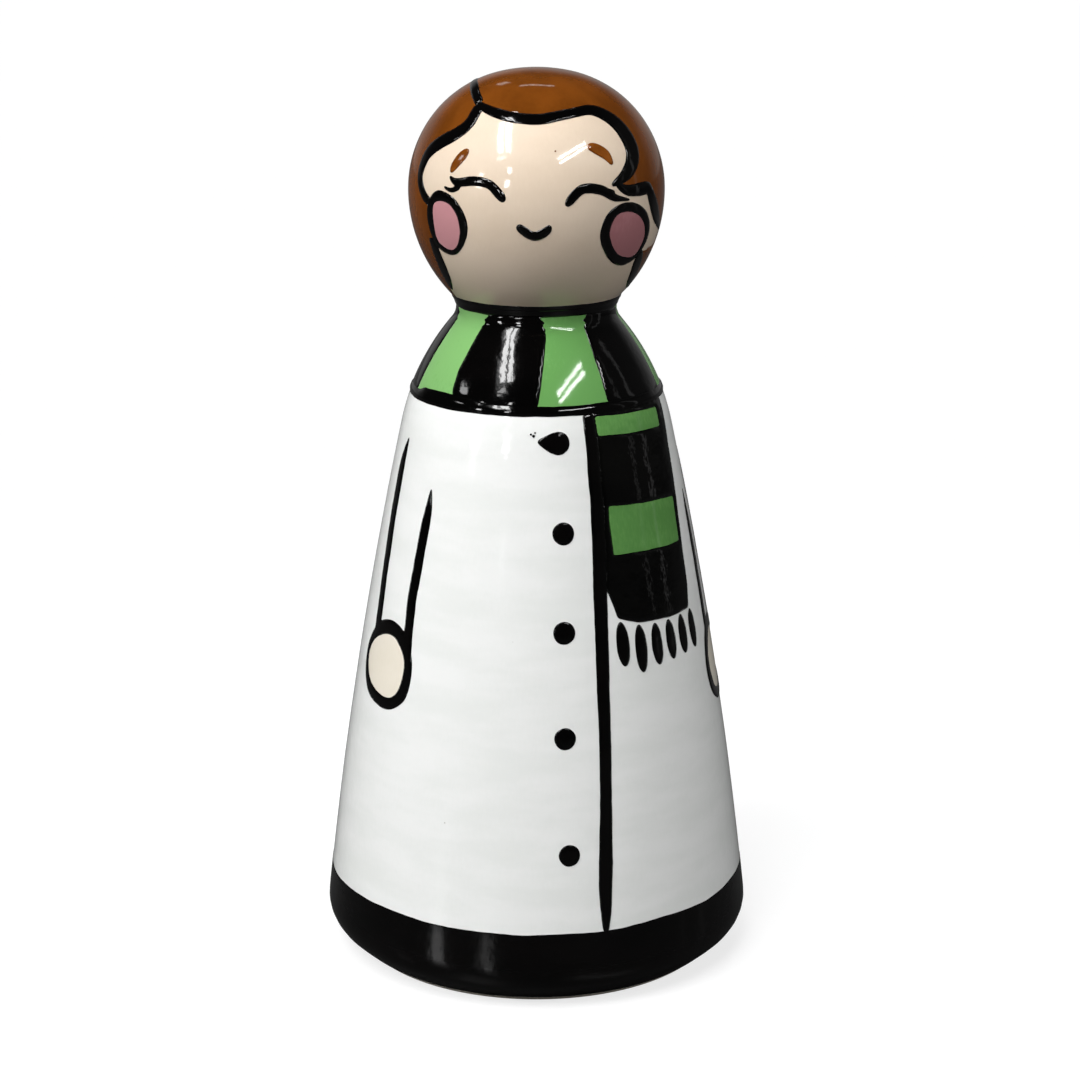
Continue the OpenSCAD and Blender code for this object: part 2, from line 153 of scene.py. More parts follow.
# Floor: just below the foot, with tones for what it throws back and for what the camera sees
FLOOR_REACH = 6000
FLOOR_DROP = 0.02
FLOOR_FADE = (120, 400)
FLOOR_TONE = 0.04
FLOOR_SEEN_TONE = 0.32
FLOOR_SEEN_GLOW = 0.72
FLOOR_ROUGHNESS = 0.25
FLOOR_GLOSS = 0.13


def leg(slant, side):
    """Other short side of a right-angled triangle."""
    return math.sqrt(slant * slant - side * side)


def crossing(a, a_r, b, b_r):
    """Point where two circles cross, on the side of the axis."""
    along = b - a
    reach = (abs(along) ** 2 + a_r ** 2 - b_r ** 2) / (2 * abs(along))
    return a + along / abs(along) * complex(reach, -leg(a_r, reach))


def touching_arcs():
    """Centres, across and up, and radii of the arcs from the base up. A hollow arc's radius is minus."""
    head_r = HEAD_D / 2
    crown_r = CROWN_SHARE * HEAD_D
    temple_r = TEMPLE_SHARE * HEAD_D
    cheek_r = CHEEK_SHARE * HEAD_D
    jaw_r = JAW_SHARE * HEAD_D
    shoulder_r = SHOULDER_SHARE * BASE_D
    edge_r = EDGE_SHARE * EDGE_Z
    temple = head_r - cheek_r + cmath.rect(cheek_r - temple_r, TEMPLE_TURN)
    head_z = HEIGHT - crown_r + leg(crown_r - temple_r, temple.real) - temple.imag
    jaw = complex(head_r - jaw_r, head_z)
    neck_x = NECK_D / 2 + NECK_FILLET
    neck = complex(neck_x, head_z - leg(jaw_r + NECK_FILLET, neck_x - jaw.real))
    shoulder_x = SHOULDER_D / 2 - shoulder_r
    shoulder = complex(shoulder_x, neck.imag - leg(shoulder_r + NECK_FILLET, neck_x - shoulder_x))
    edge = complex(BASE_D / 2 - edge_r, EDGE_Z)
    side = crossing(shoulder, SIDE_R - shoulder_r, edge, SIDE_R - edge_r)
    return [(edge, edge_r), (side, SIDE_R), (shoulder, shoulder_r), (neck, -NECK_FILLET), (jaw, jaw_r),
            (complex(head_r - cheek_r, head_z), cheek_r), (temple + 1j * head_z, temple_r),
            (1j * (HEIGHT - crown_r), crown_r)]


class Outline:
    """The turned outline, measured by its length from the foot up; plus offsets lie outside it."""

    def __init__(self):
        arcs = touching_arcs()
        foot = complex(BASE_D / 2 - FOOT_INSET, 0)
        edge, edge_r = arcs[0]
        bevel = cmath.phase(edge - foot) - math.asin(edge_r / abs(edge - foot))
        turns = [cmath.rect(1, bevel - math.pi / 2)]
        turns += [(b - a) / (a_r - b_r) for (a, a_r), (b, b_r) in zip(arcs, arcs[1:])]
        turns.append(1j)
        points = [np.linspace(foot, edge + edge_r * turns[0], BEVEL_POINTS)[:-1]]
        normals = [np.full(BEVEL_POINTS - 1, turns[0])]
        for (centre, radius), start, end in zip(arcs, turns, turns[1:]):
            low, high = cmath.phase(start), cmath.phase(end)
            count = max(ARC_POINTS, int(abs(radius * (high - low)) / OUTLINE_STEP))
            normal = np.exp(1j * np.linspace(low, high, count))
            points.append((centre + radius * normal)[:-1])
            normals.append(normal[:-1])
        points = np.concatenate(points + [[1j * HEIGHT]])
        normals = np.concatenate(normals + [[1j]])
        steps = np.abs(np.diff(points))
        self.length = np.concatenate([[0], np.cumsum(steps)])
        self.point = points
        self.normal = normals
        middle = np.maximum((points.real[1:] + points.real[:-1]) / 2, 1e-3)
        self.spread = np.concatenate([[0], np.cumsum(steps / middle)])

    def at(self, s):
        """Point and outward direction at a length, across and up."""
        return np.interp(s, self.length, self.point), np.interp(s, self.length, self.normal)

    def find(self, points):
        """Bearing, length and offset of points in space. Bearing 0 is the front, plus is to the right."""
        bearing = np.arctan2(points[:, 0], -points[:, 1])
        flat = np.hypot(points[:, 0], points[:, 1]) + 1j * points[:, 2]
        s = np.interp(flat.imag, self.point.imag, self.length)
        for _ in range(FIND_ROUNDS):
            near, out = self.at(s)
            s = np.clip(s + ((flat - near) * (1j * out).conj()).real, 0, self.length[-1])
        near, out = self.at(s)
        return bearing, s, ((flat - near) * out.conj()).real

    def place(self, bearing, s, offset):
        """Points in space."""
        near, out = self.at(s)
        flat = near + offset * out
        return np.stack([flat.real * np.sin(bearing), -flat.real * np.cos(bearing), flat.imag], -1)

    def outward(self, bearing, s):
        """Outward directions in space."""
        out = self.at(s)[1]
        return np.stack([out.real * np.sin(bearing), -out.real * np.cos(bearing), out.imag], -1)

    def to_map(self, bearing, s):
        """Places on a flat map that keeps angles, with the top of the head in the middle."""
        return np.exp(-np.interp(s, self.length, self.spread) + 1j * bearing)

    def from_map(self, place):
        """Bearings and lengths of places on the map."""
        return np.angle(place), np.interp(-np.log(np.abs(place)), self.spread, self.length)


OUTLINE = Outline()
noise.seed_set(SHAKE_SEED)


def noise_at(points, size):
    """Smooth noise in about -1 to 1 at points in space, with lumps of a size."""
    return np.array([noise.noise(Vector(p)) for p in points / size])


def shaken(points):
    """Small moves of an edge, as a hand makes them."""
    moves = np.zeros_like(points)
    for reach, size in SHAKE:
        moves += reach * np.array([noise.noise_vector(Vector(p)) for p in points / size])
    return moves


def uneven(points):
    """How far the fired surface dips below its true level."""
    broad, broad_size = BROAD_DIP
    fine, fine_size = FINE_DIP
    dips = broad * noise_at(points, broad_size) + fine * noise_at(points + FINE_DIP_SHIFT, fine_size)
    return dips - (broad + fine)


def pooled(points):
    """How much of its usual height a bead of glaze has, where it ran thicker or thinner."""
    share, size = POOLING
    return 1 + share * noise_at(points + POOLING_SHIFT, size)


def rounded(gap, width):
    """Height of a soft bead of glaze, from 0 at its edge to 1 at a width from it."""
    share = np.minimum(gap / width, 1)
    return share * share * (3 - 2 * share)


def welded(points):
    """For each point, the first point that lies at the same place."""
    tree = KDTree(len(points))
    for k, point in enumerate(points):
        tree.insert(point, k)
    tree.balance()
    first = np.full(len(points), -1)
    for k, point in enumerate(points):
        if first[k] < 0:
            for _, near, _ in tree.find_range(point, WELD):
                if first[near] < 0:
                    first[near] = k
    return first


def outer_loops(node):
    """Closed loops of points round the outer face of a solid of glaze."""
    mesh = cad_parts[node].data
    mesh.calc_loop_triangles()
    points = np.empty(3 * len(mesh.vertices))
    mesh.vertices.foreach_get("co", points)
    corners = np.empty(3 * len(mesh.loop_triangles), int)
    mesh.loop_triangles.foreach_get("vertices", corners)
    points = points.reshape(-1, 3) / MM
    corners = welded(points)[corners].reshape(-1, 3)
    bearing, s, offset = OUTLINE.find(points)
    outer = offset > offset.max() - OUTER_SHARE * np.ptp(offset)
    faces = corners[outer[corners].all(1)]
    a, b, c = points[faces.T]
    facing = np.cross(b - a, c - a)
    out = OUTLINE.outward(bearing, s)[faces[:, 0]]
    faces = faces[(facing * out).sum(1) > OUTER_FACING * np.linalg.norm(facing, axis=1)]
    edges = {(a, b) for face in faces for a, b in zip(face, np.roll(face, -1)) if a != b}
    follow = {a: b for a, b in edges if (b, a) not in edges}
    loops = []
    while follow:
        walk = [next(iter(follow))]
        while walk[-1] in follow:
            walk.append(follow.pop(walk[-1]))
        if len(walk) > SHORT_LOOP:
            loops.append(points[walk[:-1]])
    return loops


def brush_edge(loop, grow):
    """A loop evened out, grown outward and shaken, as bearings and lengths."""
    closed = np.vstack([loop, loop[:1]])
    run = np.concatenate([[0], np.cumsum(np.linalg.norm(np.diff(closed, axis=0), axis=1))])
    count = max(EDGE_POINTS, int(run[-1] / EDGE_STEP))
    stops = np.arange(count) * run[-1] / count
    points = np.stack([np.interp(stops, run, closed[:, k]) for k in range(3)], -1)
    for _ in range(EVENING_ROUNDS):
        points = (np.roll(points, 1, 0) + 2 * points + np.roll(points, -1, 0)) / 4
    bearing, s, _ = OUTLINE.find(points)
    side = np.cross(np.roll(points, -1, 0) - np.roll(points, 1, 0), OUTLINE.outward(bearing, s))
    side /= np.maximum(np.linalg.norm(side, axis=1, keepdims=True), 1e-9)
    return OUTLINE.find(points + grow * side + shaken(points))[:2]


class Area:
    """An area of the doll within closed edges, each given as bearings and lengths."""

    def __init__(self, edges):
        self.bearing, self.s = (np.concatenate(part) for part in zip(*edges))
        self.rings = [OUTLINE.to_map(*edge) for edge in edges]
        self.scale = abs(self.rings[0]).max()
        self.starts = np.concatenate(self.rings) / self.scale
        self.ends = np.concatenate([np.roll(ring, -1) for ring in self.rings]) / self.scale
        lines = [OUTLINE.place(*edge, 0) for edge in edges]
        self.line_starts = np.concatenate(lines)
        self.line_ends = np.concatenate([np.roll(line, -1, 0) for line in lines])

    def holds(self, places):
        """Whether places on the map lie within the edges."""
        kept = np.zeros(len(places), bool)
        for a, b in zip(self.starts, self.ends):
            if a.imag == b.imag:
                continue
            spans = (a.imag > places.imag) != (b.imag > places.imag)
            cut = a.real + (places.imag - a.imag) / (b.imag - a.imag) * (b - a).real
            kept ^= spans & (places.real < cut)
        return kept

    def gap(self, points):
        """Distance from points in space to the nearest edge."""
        gap = np.full(len(points), np.inf)
        for a, b in zip(self.line_starts, self.line_ends):
            run = b - a
            share = np.clip((points - a) @ run / max(run @ run, 1e-12), 0, 1)
            gap = np.minimum(gap, ((points - a - share[:, None] * run) ** 2).sum(1))
        return np.sqrt(gap)

    def grid(self, step):
        """Places on the map of an even grid of points a step apart, clear of the edges."""
        middle = cmath.phase(np.exp(1j * self.bearing).mean())
        swing = np.angle(np.exp(1j * (self.bearing - middle)))
        around = any(abs(np.angle(np.roll(ring, -1) / ring).sum()) > 1 for ring in self.rings)
        low, high = (-math.pi, math.pi) if around else (swing.min(), swing.max())
        top = OUTLINE.length[-1] if around else self.s.max()
        grid = []
        for k, row in enumerate(np.arange(self.s.min() + step / 2, top, ROW_SHARE * step)):
            radius = max(OUTLINE.at(row)[0].real, TIP_SHARE * step)
            turn = np.arange(low + (k % 2) * step / radius / 2, high, step / radius)
            grid.append(np.stack([middle + turn, np.full(len(turn), row)]))
        grid = np.concatenate(grid, 1)
        grid = grid[:, self.holds(OUTLINE.to_map(*grid) / self.scale)]
        grid = grid[:, self.gap(OUTLINE.place(*grid, 0)) > EDGE_CLEAR * step]
        return OUTLINE.to_map(*grid) / self.scale

    def sheet(self, step):
        """Bearings, lengths and triangles that cover the area."""
        places = np.concatenate([self.starts, self.grid(step)])
        links = []
        for ring in self.rings:
            first = len(links)
            links += [(first + k, first + (k + 1) % len(ring)) for k in range(len(ring))]
        made = delaunay_2d_cdt([Vector((p.real, p.imag)) for p in places], links, [], 0, 1e-9)
        places = np.array([complex(*p) for p in made[0]])
        faces = np.array(made[2])
        faces = faces[self.holds(places[faces].mean(1))]
        used, faces = np.unique(faces, return_inverse=True)
        bearing, s = OUTLINE.from_map(places[used] * self.scale)
        return bearing, s, [tuple(face) for face in faces.reshape(-1, 3).tolist()]


def add_piece(name, points, faces, node, slot, material):
    """A mesh of the doll that stands for a solid."""
    mesh = bpy.data.meshes.new(name)
    mesh.from_pydata((points * MM).tolist(), [], faces)
    mesh.validate()
    mesh.shade_smooth()
    mesh.materials.append(material)
    piece = bpy.data.objects.new(name, mesh)
    bpy.context.scene.collection.objects.link(piece)
    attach(piece, "root")
    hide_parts(node)


def close_shell(points, under, faces):
    """Points and faces of a closed shell, from an outer sheet and the points under it."""
    edges = {(face[k], face[(k + 1) % len(face)]) for face in faces for k in range(len(face))}
    count = len(points)
    walls = [(b, a, a + count, b + count) for a, b in edges if (b, a) not in edges]
    back = [tuple(k + count for k in reversed(face)) for face in faces]
    return np.vstack([points, under]), faces + back + sorted(walls)


def brushed(node, slot, material, level=0.0, height=0.28, bead=0.55, grow=0.0, step=0.4, under=-SUNK):
    """An area of glaze laid with a brush. It follows its solid's edge and swells from there as a bead."""
    area = Area([brush_edge(loop, grow) for loop in outer_loops(node)])
    bearing, s, faces = area.sheet(step)
    points = OUTLINE.place(bearing, s, 0)
    swell = height * rounded(area.gap(points), bead) * pooled(points)
    top = OUTLINE.place(bearing, s, level + uneven(points) + swell)
    add_piece(node, *close_shell(top, OUTLINE.place(bearing, s, under), faces), node, slot, material)


def banded(node, slot, material, level=0.0, height=0.0, bead=0.5, low_grow=0.0, high_grow=0.0, wave=0.0,
           under=-GLAZE, step=1.4):
    """A band of glaze all round, between the two edges of its solid."""
    turn = np.arange(COLUMNS) * 2 * math.pi / COLUMNS
    loops = sorted((OUTLINE.find(loop)[:2] for loop in outer_loops(node)), key=lambda loop: loop[1].mean())
    edges = []
    for (bearing, s), grow in ((loops[0], -low_grow), (loops[-1], high_grow)):
        line = OUTLINE.place(turn, np.interp(turn, bearing, s, period=2 * math.pi) + grow, 0)
        edges.append(OUTLINE.find(line + shaken(line))[1])
    low, high = edges
    high = high + wave * noise_at(line, WAVE_SIZE)
    near = bead * BEAD_ROWS
    count = max(2, int(((high - low).min() - 2 * bead) / step) + 1)
    share = np.linspace(0, 1, count + 1)[1:-1]
    rows = [low + n for n in near]
    rows += [(low + bead) * (1 - f) + (high - bead) * f for f in share]
    rows += [high - n for n in near[::-1]]
    s = np.array(rows)
    gap = np.minimum(s - low, high - s).ravel()
    bearing = np.broadcast_to(turn, s.shape).ravel()
    s = s.ravel()
    points = OUTLINE.place(bearing, s, 0)
    swell = height * rounded(gap, bead) * pooled(points)
    top = OUTLINE.place(bearing, s, level + uneven(points) + swell)
    faces = []
    for row in range(len(rows) - 1):
        for k in range(COLUMNS):
            a, b = row * COLUMNS + k, row * COLUMNS + (k + 1) % COLUMNS
            faces.append((a, b, b + COLUMNS, a + COLUMNS))
    add_piece(node, *close_shell(top, OUTLINE.place(bearing, s, under), faces), node, slot, material)


def splash(name, bearing, up, size, node, slot, material):
    """A small drop of glaze that fell beside its brush mark, at a bearing in degrees; size is its radius."""
    turn = np.arange(DROP_SIDES) * 2 * math.pi / DROP_SIDES
    s = np.interp(up, OUTLINE.point.imag, OUTLINE.length)
    radius = OUTLINE.at(s)[0].real
    top = []
    under = []
    for share, lift in DROP_RINGS:
        reach = share * size
        ring = (math.radians(bearing) + reach * np.cos(turn) / radius, s + reach * np.sin(turn))
        top.append(OUTLINE.place(*ring, lift))
        under.append(OUTLINE.place(*ring, -SUNK))
    faces = [tuple(range(DROP_SIDES))]
    for row in range(len(DROP_RINGS) - 1):
        for k in range(DROP_SIDES):
            a, b = row * DROP_SIDES + k, row * DROP_SIDES + (k + 1) % DROP_SIDES
            faces.append((a, a + DROP_SIDES, b + DROP_SIDES, b))
    add_piece(name, *close_shell(np.vstack(top), np.vstack(under), faces), node, slot, material)


def turned(node, profile, slot, material):
    """A solid turned from a profile of points, across and up, whose two ends are on the axis."""
    profile = np.array(profile)
    turn = np.arange(COLUMNS) * 2 * math.pi / COLUMNS
    body = profile[1:-1]
    points = np.stack([np.outer(body.real, np.sin(turn)), np.outer(body.real, -np.cos(turn)),
                       np.outer(body.imag, np.ones(COLUMNS))], -1).reshape(-1, 3)
    ends = [[0, 0, profile[0].imag], [0, 0, profile[-1].imag]]
    first = len(points)
    last = first + 1
    top = (len(body) - 1) * COLUMNS
    faces = []
    for k in range(COLUMNS):
        after = (k + 1) % COLUMNS
        faces.append((first, after, k))
        faces.append((top + k, top + after, last))
        for row in range(len(body) - 1):
            a, b = row * COLUMNS + k, row * COLUMNS + after
            faces.append((a, b, b + COLUMNS, a + COLUMNS))
    add_piece(node, np.vstack([points, ends]), faces, node, slot, material)


class Value:
    """A socket of a shader. Sums on it add Math nodes."""

    def __init__(self, shader, socket):
        self.shader = shader
        self.socket = socket

    def sum(self, operation, a, b):
        """A Math node on two numbers or sockets."""
        return self.shader.node("ShaderNodeMath", {"operation": operation}, {0: a, 1: b})

    def __add__(self, other):
        return self.sum("ADD", self, other)

    def __sub__(self, other):
        return self.sum("SUBTRACT", self, other)

    def __rsub__(self, other):
        return self.sum("SUBTRACT", other, self)

    def __mul__(self, other):
        return self.sum("MULTIPLY", self, other)

    __radd__ = __add__
    __rmul__ = __mul__


class Shader:
    """Builder of one material's nodes, or of the world's."""

    def __init__(self, owner):
        owner.use_nodes = True
        self.owner = owner
        self.tree = owner.node_tree
        self.tree.nodes.clear()

    def node(self, kind, settings=None, inputs=None, output=0):
        """A node of a type, with its settings set first and then its sockets' values or links."""
        made = self.tree.nodes.new(kind)
        for key, value in (settings or {}).items():
            setattr(made, key, value)
        for key, value in (inputs or {}).items():
            if isinstance(value, Value):
                self.tree.links.new(value.socket, made.inputs[key])
            else:
                made.inputs[key].default_value = value
        return Value(self, made.outputs[output]) if made.outputs else None

    def place(self, stretch=(1, 1, 1)):
        """Place on the doll in millimetres, with each axis drawn out by its own amount."""
        spot = self.node("ShaderNodeTexCoord", output="Object")
        scale = tuple(1 / MM / k for k in stretch)
        return self.node("ShaderNodeVectorMath", {"operation": "MULTIPLY"}, {0: spot, 1: scale})

    def axis(self, vector, letter):
        """One of the three parts of a vector."""
        return self.node("ShaderNodeSeparateXYZ", {}, {"Vector": vector}, output=letter)

    def cloud(self, size, stretch=(1, 1, 1), detail=2.0):
        """Smooth noise in 0 to 1, with lumps of a size in millimetres."""
        inputs = {"Vector": self.place(stretch), "Scale": 1 / size, "Detail": detail}
        return self.node("ShaderNodeTexNoise", {}, inputs)

    def ramp(self, value, low, high):
        """0 below low, 1 above high, smooth between."""
        return self.node("ShaderNodeMapRange", {"interpolation_type": "SMOOTHSTEP"},
                         {"Value": value, "From Min": low, "From Max": high})

    def mix(self, share, a, b):
        """From one colour to another."""
        return self.node("ShaderNodeMix", {"data_type": "RGBA"}, {"Factor": share, 6: a, 7: b}, output=2)

    def specks(self, size, share):
        """1 on small dots in a share of the cells of a size."""
        cells = {"Vector": self.place(), "Scale": 1 / size}
        away = self.node("ShaderNodeTexVoronoi", {}, cells, output="Distance")
        tint = self.node("ShaderNodeTexVoronoi", {}, cells, output="Color")
        lot = self.node("ShaderNodeSeparateColor", {}, {"Color": tint}, output=0)
        return (1 - self.ramp(away, *SPECK_EDGE)) * self.ramp(lot, 1 - share, 1 - share + 0.001)

    def bump(self, height, depth):
        """Surface direction over a height map whose full range is a depth in millimetres."""
        return self.node("ShaderNodeBump", {}, {"Height": height, "Distance": depth * MM, "Strength": 1.0})

    def finish(self, colour, roughness, normal=None, **constants):
        """Ends in one glossy surface."""
        inputs = {"Base Color": colour, "Roughness": roughness}
        if normal is not None:
            inputs["Normal"] = normal
        inputs.update({key.replace("_", " "): value for key, value in constants.items()})
        surface = self.node("ShaderNodeBsdfPrincipled", {}, inputs)
        self.node("ShaderNodeOutputMaterial", {}, {"Surface": surface})
        return self.owner


def new_shader(name):
    """Builder of a new material's nodes."""
    return Shader(bpy.data.materials.new(name))


def rgb(red, green, blue):
    """Colour socket value from a colour in 0 to 255 as a screen shows it."""
    shown = np.array([red, green, blue]) / 255
    return (*np.where(shown <= 0.04045, shown / 12.92, ((shown + 0.055) / 1.055) ** 2.4), 1.0)


def grey(level):
    """Colour socket value of an even grey, from 0 to 1 as light is measured."""
    return (level, level, level, 1.0)


def brushed_glaze(name, thin, full, size=9.0, stretch=(3, 3, 1), roughness=0.05, ripple=0.02, speck=None,
                  streak=0.2, lean=0.0):
    """Glossy glaze whose colour runs from thin to full in soft brush marks and fine streaks.

    A lean makes it lighter on the left and darker on the right.
    """
    paint = new_shader(name)
    left = 0.5 - paint.ramp(paint.axis(paint.place(), "X"), *LEAN_RANGE)
    streaks = paint.cloud(STREAK_SIZE, STREAK_STRETCH) - 0.5
    marks = paint.cloud(size, stretch, MARK_DETAIL) + streaks * streak + left * lean
    colour = paint.mix(paint.ramp(marks, *MARK_RANGE), thin, full)
    if speck is not None:
        colour = paint.mix(paint.specks(SPECK_APART, SPECK_SHARE) * SPECK_DEPTH, colour, speck)
    dips = paint.cloud(RIPPLE_SIZE) + paint.cloud(FINE_RIPPLE_SIZE) * FINE_RIPPLE_SHARE
    dull = roughness + paint.cloud(DULL_SIZE) * DULL_REACH
    return paint.finish(colour, dull, paint.bump(dips, ripple), IOR=GLAZE_IOR)


CLAY = brushed_glaze("bisque_clay", rgb(214, 205, 190), rgb(228, 221, 208), roughness=0.75)
WHITE = brushed_glaze("white_glaze", rgb(241, 243, 240), rgb(247, 248, 246), 6, (3, 3, 0.8), ripple=0.05,
                      speck=rgb(150, 142, 130))
BLACK = brushed_glaze("black_glaze", rgb(1, 1, 1), rgb(5, 4, 4), ripple=0.05)
WET_BLACK = brushed_glaze("wet_black_glaze", rgb(1, 1, 1), rgb(6, 6, 5), ripple=0.11)
# The green and the pink lean: lighter on the left side, darker on the right
GREEN = brushed_glaze("green_glaze", rgb(105, 161, 88), rgb(130, 184, 111), streak=0.4, lean=0.5)
DEEP_GREEN = brushed_glaze("deep_green_glaze", rgb(90, 142, 73), rgb(104, 158, 84), streak=0.5)
SKIN = brushed_glaze("skin_glaze", rgb(230, 210, 187), rgb(236, 217, 195))
HAND = brushed_glaze("hand_glaze", rgb(239, 231, 214), rgb(244, 236, 221))
HAIR = brushed_glaze("hair_glaze", rgb(100, 52, 9), rgb(120, 64, 15), 8, (1, 1, 3))
BROW = brushed_glaze("brow_glaze", rgb(112, 58, 12), rgb(150, 84, 25), 4)
PINK = brushed_glaze("pink_glaze", rgb(178, 120, 124), rgb(204, 146, 151), lean=0.6)

# Casting: from the inside of the head down to the pour hole, out to the foot and up over the outside
hollow = OUTLINE.point - (WALL + GLAZE) * OUTLINE.normal
hollow = hollow[(hollow.imag > FLOOR_T) & (hollow.real > 0)]
skin = OUTLINE.point - GLAZE * OUTLINE.normal
skin = skin[(skin.imag > 0) & (skin.real > 0)]
vent_r = VENT_D / 2
inner = [1j * (HEIGHT - WALL - GLAZE), *hollow[::-INNER_EVERY]]
pour = [complex(hollow[0].real, FLOOR_T), complex(vent_r + VENT_CHAMFER, FLOOR_T),
        complex(vent_r, FLOOR_T - VENT_CHAMFER), complex(vent_r, VENT_CHAMFER),
        complex(vent_r + VENT_CHAMFER, 0), complex(skin[0].real, 0)]
outer = [*skin[::OUTER_EVERY], 1j * (HEIGHT - GLAZE)]
turned("bisque_body", inner + pour + outer, "bisque_clay", CLAY)

# Coats of colour; each one runs a little under the next
banded("hem_band", "black_glaze", BLACK, level=-0.02, height=0.03, wave=0.8)
banded("coat", "white_glaze", WHITE, level=-0.06, low_grow=1.2, high_grow=0.8)
banded("scarf_wrap", "green_glaze", GREEN, level=-0.02, low_grow=-0.5, high_grow=-0.3)
brushed("face", "skin_glaze", SKIN, level=-0.12, height=0.06, bead=0.4, grow=0.6, step=0.8, under=-GLAZE)
brushed("hair", "hair_glaze", HAIR, level=-0.08, height=0.08, bead=0.5, grow=0.1, step=1.0, under=-GLAZE)

# Scarf
banded("scarf_top_line", "black_glaze", BLACK, height=0.22, bead=0.6, high_grow=1.2, under=-SUNK, step=0.4)
banded("scarf_low_line", "black_glaze", BLACK, height=0.24, bead=0.7, under=-SUNK, step=0.4)
for number in range(1, 6):
    brushed(f"scarf_stripe_{number}", "black_glaze", BLACK, height=0.08, bead=0.8, grow=0.4, step=0.6)
brushed("scarf_tail", "black_glaze", WET_BLACK, height=0.2, grow=0.1, step=0.5)
for number in range(1, 3):
    bar = f"scarf_tail_bar_{number}"
    brushed(bar, "green_glaze", DEEP_GREEN, level=-0.03, height=0.04, grow=0.35, step=0.5)
for number in range(1, 7):
    brushed(f"fringe_{number}", "black_glaze", BLACK, height=0.15, grow=0.06)

# Coat, with three drops beside its top button
brushed("coat_front_line", "black_glaze", BLACK, height=0.14, grow=0.15)
for number in range(1, 6):
    brushed(f"button_{number}", "black_glaze", BLACK, height=0.13, bead=1.2)
for number, drop in enumerate(BUTTON_DROPS, 1):
    splash(f"button_1_splash_{number}", *drop, "button_1", "black_glaze", BLACK)
for side in ("left", "right"):
    brushed(f"{side}_hand", "skin_glaze", HAND, level=-0.03, height=0.02, grow=0.35, step=0.5)
    brushed(f"{side}_arm_line", "black_glaze", BLACK, height=0.14)

# Head, with one speck of the brows' glaze on the forehead
for side in ("left", "right"):
    brushed(f"{side}_cheek", "pink_glaze", PINK, level=-0.03, height=0.02, grow=0.35)
    brushed(f"{side}_cheek_ring", "black_glaze", BLACK, height=0.1, bead=0.5, grow=0.15)
    brushed(f"{side}_jaw_line", "black_glaze", BLACK, height=0.12, grow=0.2)
    brushed(f"{side}_brow", "brow_glaze", BROW, height=0.05, bead=0.5, grow=0.12)
    brushed(f"{side}_eye", "black_glaze", BLACK, height=0.1, bead=0.5, grow=0.06)
splash("face_speck", *FACE_SPECK, "face", "skin_glaze", BROW)
for line in ("hairline", "hair_parting", "mouth"):
    brushed(line, "black_glaze", BLACK, height=0.12, bead=0.5, grow=0.08)

# Camera
camera_data = bpy.data.cameras.new("camera")
camera_data.lens = LENS
camera_data.sensor_width = SENSOR
camera_data.shift_x = AXIS_SHIFT
camera = bpy.data.objects.new("camera", camera_data)
camera.location = (0, -CAMERA_BACK * MM, CAMERA_UP * MM)
camera.rotation_euler = (math.pi / 2 - CAMERA_PITCH, 0, 0)
bpy.context.scene.collection.objects.link(camera)
bpy.context.scene.camera = camera


def panel(name, bearing, rise, width, height, shine, roll=0.0, soft=False):
    """A flat lamp at a bearing and a rise in degrees, turned to the doll, with a width and height in metres.

    Shine is how bright its face looks. A soft lamp lights the colours, and others show in the gloss alone.
    """
    turn, lift = math.radians(bearing), math.radians(rise)
    aim = Vector((math.sin(turn) * math.cos(lift), -math.cos(turn) * math.cos(lift), math.sin(lift)))
    lamp = bpy.data.lights.new(name, "AREA")
    lamp.shape = "RECTANGLE"
    lamp.size = width
    lamp.size_y = height
    lamp.energy = shine * math.pi * width * height
    made = bpy.data.objects.new(name, lamp)
    made.location = Vector((0, 0, LAMP_AIM_UP * MM)) + LAMP_AWAY * MM * aim
    facing = aim.to_track_quat("Z", "Y") @ Quaternion((0, 0, 1), math.radians(roll))
    made.rotation_euler = facing.to_euler()
    made.visible_glossy = not soft
    made.visible_diffuse = soft
    bpy.context.scene.collection.objects.link(made)


# Soft light that shows the colours: strong from the left, weak from the right
panel("left_light", -36, 54, 0.9, 0.9, 7.1, soft=True)
panel("left_side_light", -62, 24, 0.6, 0.9, 3.6, soft=True)
panel("right_side_light", 80, 15, 0.6, 0.9, 1.7, soft=True)
panel("back_light", 180, 25, 0.9, 0.9, 4.0, soft=True)
panel("right_light", 48, 38, 0.8, 0.4, 2.2, soft=True)

# What the gloss shows: tubes and window panes on the left, tubes and door frames on the right, lamps behind
panel("left_tube_far", -49, 53.5, 0.10, 0.74, 18, 31)
panel("left_tube_near", -41, 57.5, 0.10, 0.82, 18, 27)
panel("left_shade", -45, 55, 0.36, 0.84, 1.2, 29)
panel("left_desk", -37, 36.5, 0.16, 0.06, 8, 30)
panel("window_near_high", -25.5, 26.5, 0.09, 0.13, 15)
panel("window_near", -26, 14.5, 0.11, 0.17, 20)
panel("window_near_low", -24.5, 4.5, 0.08, 0.07, 2)
panel("window_far_high", -52, 19.5, 0.11, 0.08, 14)
panel("window_far", -53, 12, 0.13, 0.17, 20)
panel("window_side", -78, 27, 0.16, 0.10, 7)
panel("right_tube_low", 40, 39, 0.75, 0.05, 26, 17)
panel("right_tube_high", 40, 43, 0.75, 0.05, 26, 17)
panel("right_door_near", 84, 18, 0.04, 1.2, 0.25)
panel("right_door_far", 99, 18, 0.07, 1.2, 0.3)
panel("back_lamp", 180, 56, 0.34, 0.05, 2.5)
panel("back_lamp_left", -164, 44, 0.10, 0.10, 1.5)

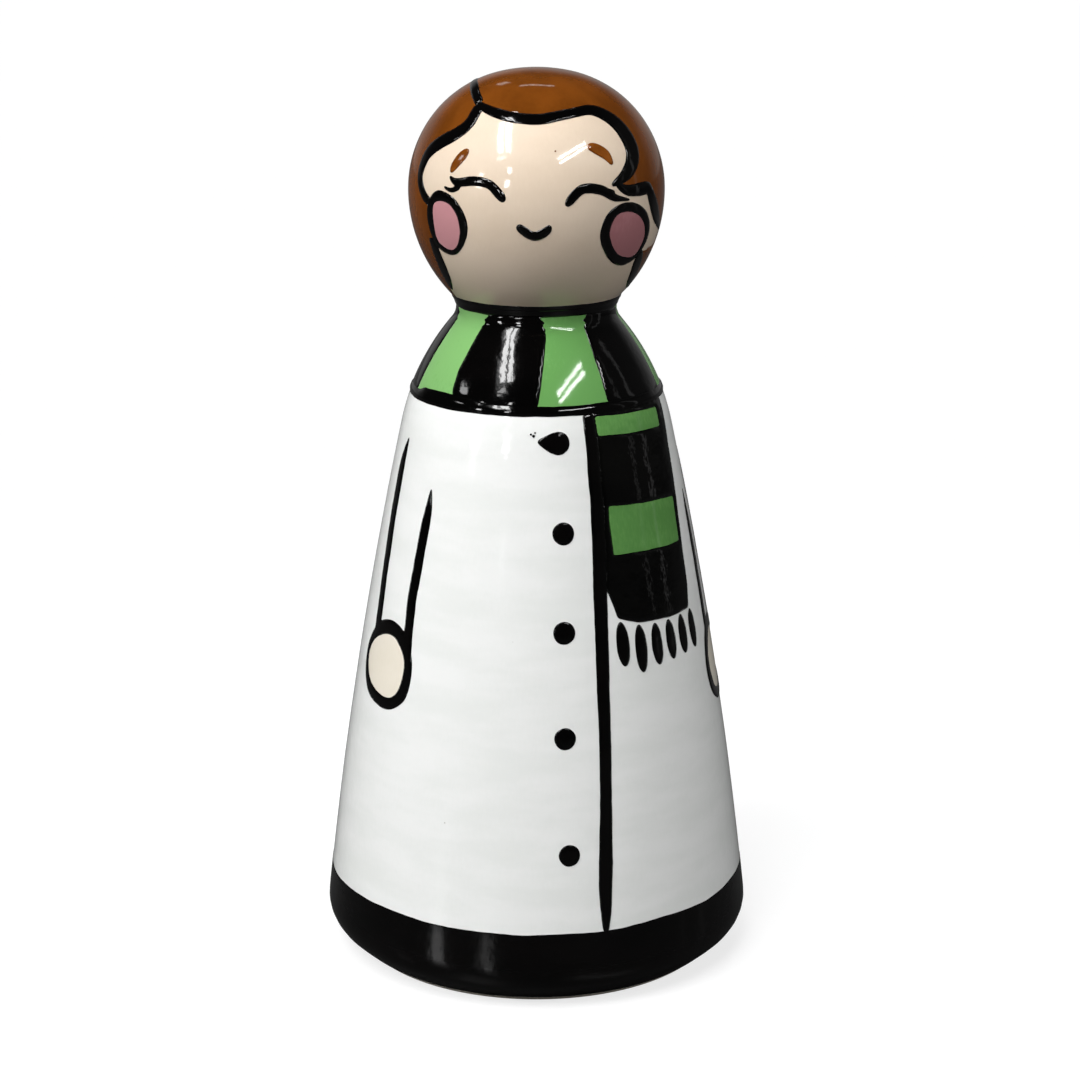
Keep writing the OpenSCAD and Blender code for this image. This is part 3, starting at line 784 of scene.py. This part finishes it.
# Room: even for the colours, white to the camera and, in the gloss, dark but for the right and a wall behind
room = Shader(bpy.data.worlds.new("room"))
bpy.context.scene.world = room.owner
direction = room.node("ShaderNodeTexCoord", output="Generated")
rise = room.axis(direction, "Z")
above = room.ramp(rise, *HORIZON)
right = room.ramp(room.axis(direction, "X"), *RIGHT_RANGE)
wall = room.ramp(room.axis(direction, "Y"), *WALL_RANGE)
wall = wall * room.ramp(rise, *WALL_FOOT) * (1 - room.ramp(rise, *WALL_TOP))
even = room.mix(above, grey(ROOM_LOW), ROOM_HIGH)
gloss = room.mix(right * above, grey(ROOM_DARK), grey(ROOM_RIGHT))
gloss = room.mix(wall, gloss, grey(ROOM_WALL))
air = room.mix(room.node("ShaderNodeLightPath", output="Is Glossy Ray"), even, gloss)
air = room.mix(room.node("ShaderNodeLightPath", output="Is Camera Ray"), air, grey(1))
backdrop = room.node("ShaderNodeBackground", {}, {"Color": air, "Strength": 1.0})
room.node("ShaderNodeOutputWorld", {}, {"Surface": backdrop})

# Floor: white to the eye with the doll's shadow, darker and shinier in what it throws back
reach = FLOOR_REACH * MM
corners = [(-reach, -reach, 0), (reach, -reach, 0), (reach, reach, 0), (-reach, reach, 0)]
floor_mesh = bpy.data.meshes.new("floor")
floor_mesh.from_pydata(corners, [], [(0, 1, 2, 3)])
floor = bpy.data.objects.new("floor", floor_mesh)
floor.location.z = -FLOOR_DROP * MM
bpy.context.scene.collection.objects.link(floor)
table = new_shader("pale_floor")
seen = table.node("ShaderNodeLightPath", output="Is Camera Ray")
away = table.node("ShaderNodeVectorMath", {"operation": "LENGTH"}, {0: table.place()}, output="Value")
far = table.ramp(away, *FLOOR_FADE)
tone = table.mix(seen, grey(FLOOR_TONE), table.mix(far, grey(FLOOR_SEEN_TONE), grey(0)))
glow = table.mix(seen, grey(0), table.mix(far, grey(FLOOR_SEEN_GLOW), grey(1)))
dull = FLOOR_ROUGHNESS + (1 - FLOOR_ROUGHNESS) * seen
pale = table.finish(tone, dull, Emission_Color=glow, Emission_Strength=1.0,
                    Specular_IOR_Level=FLOOR_GLOSS)
floor_mesh.materials.append(pale)

bpy.context.scene.view_settings.view_transform = "Standard"
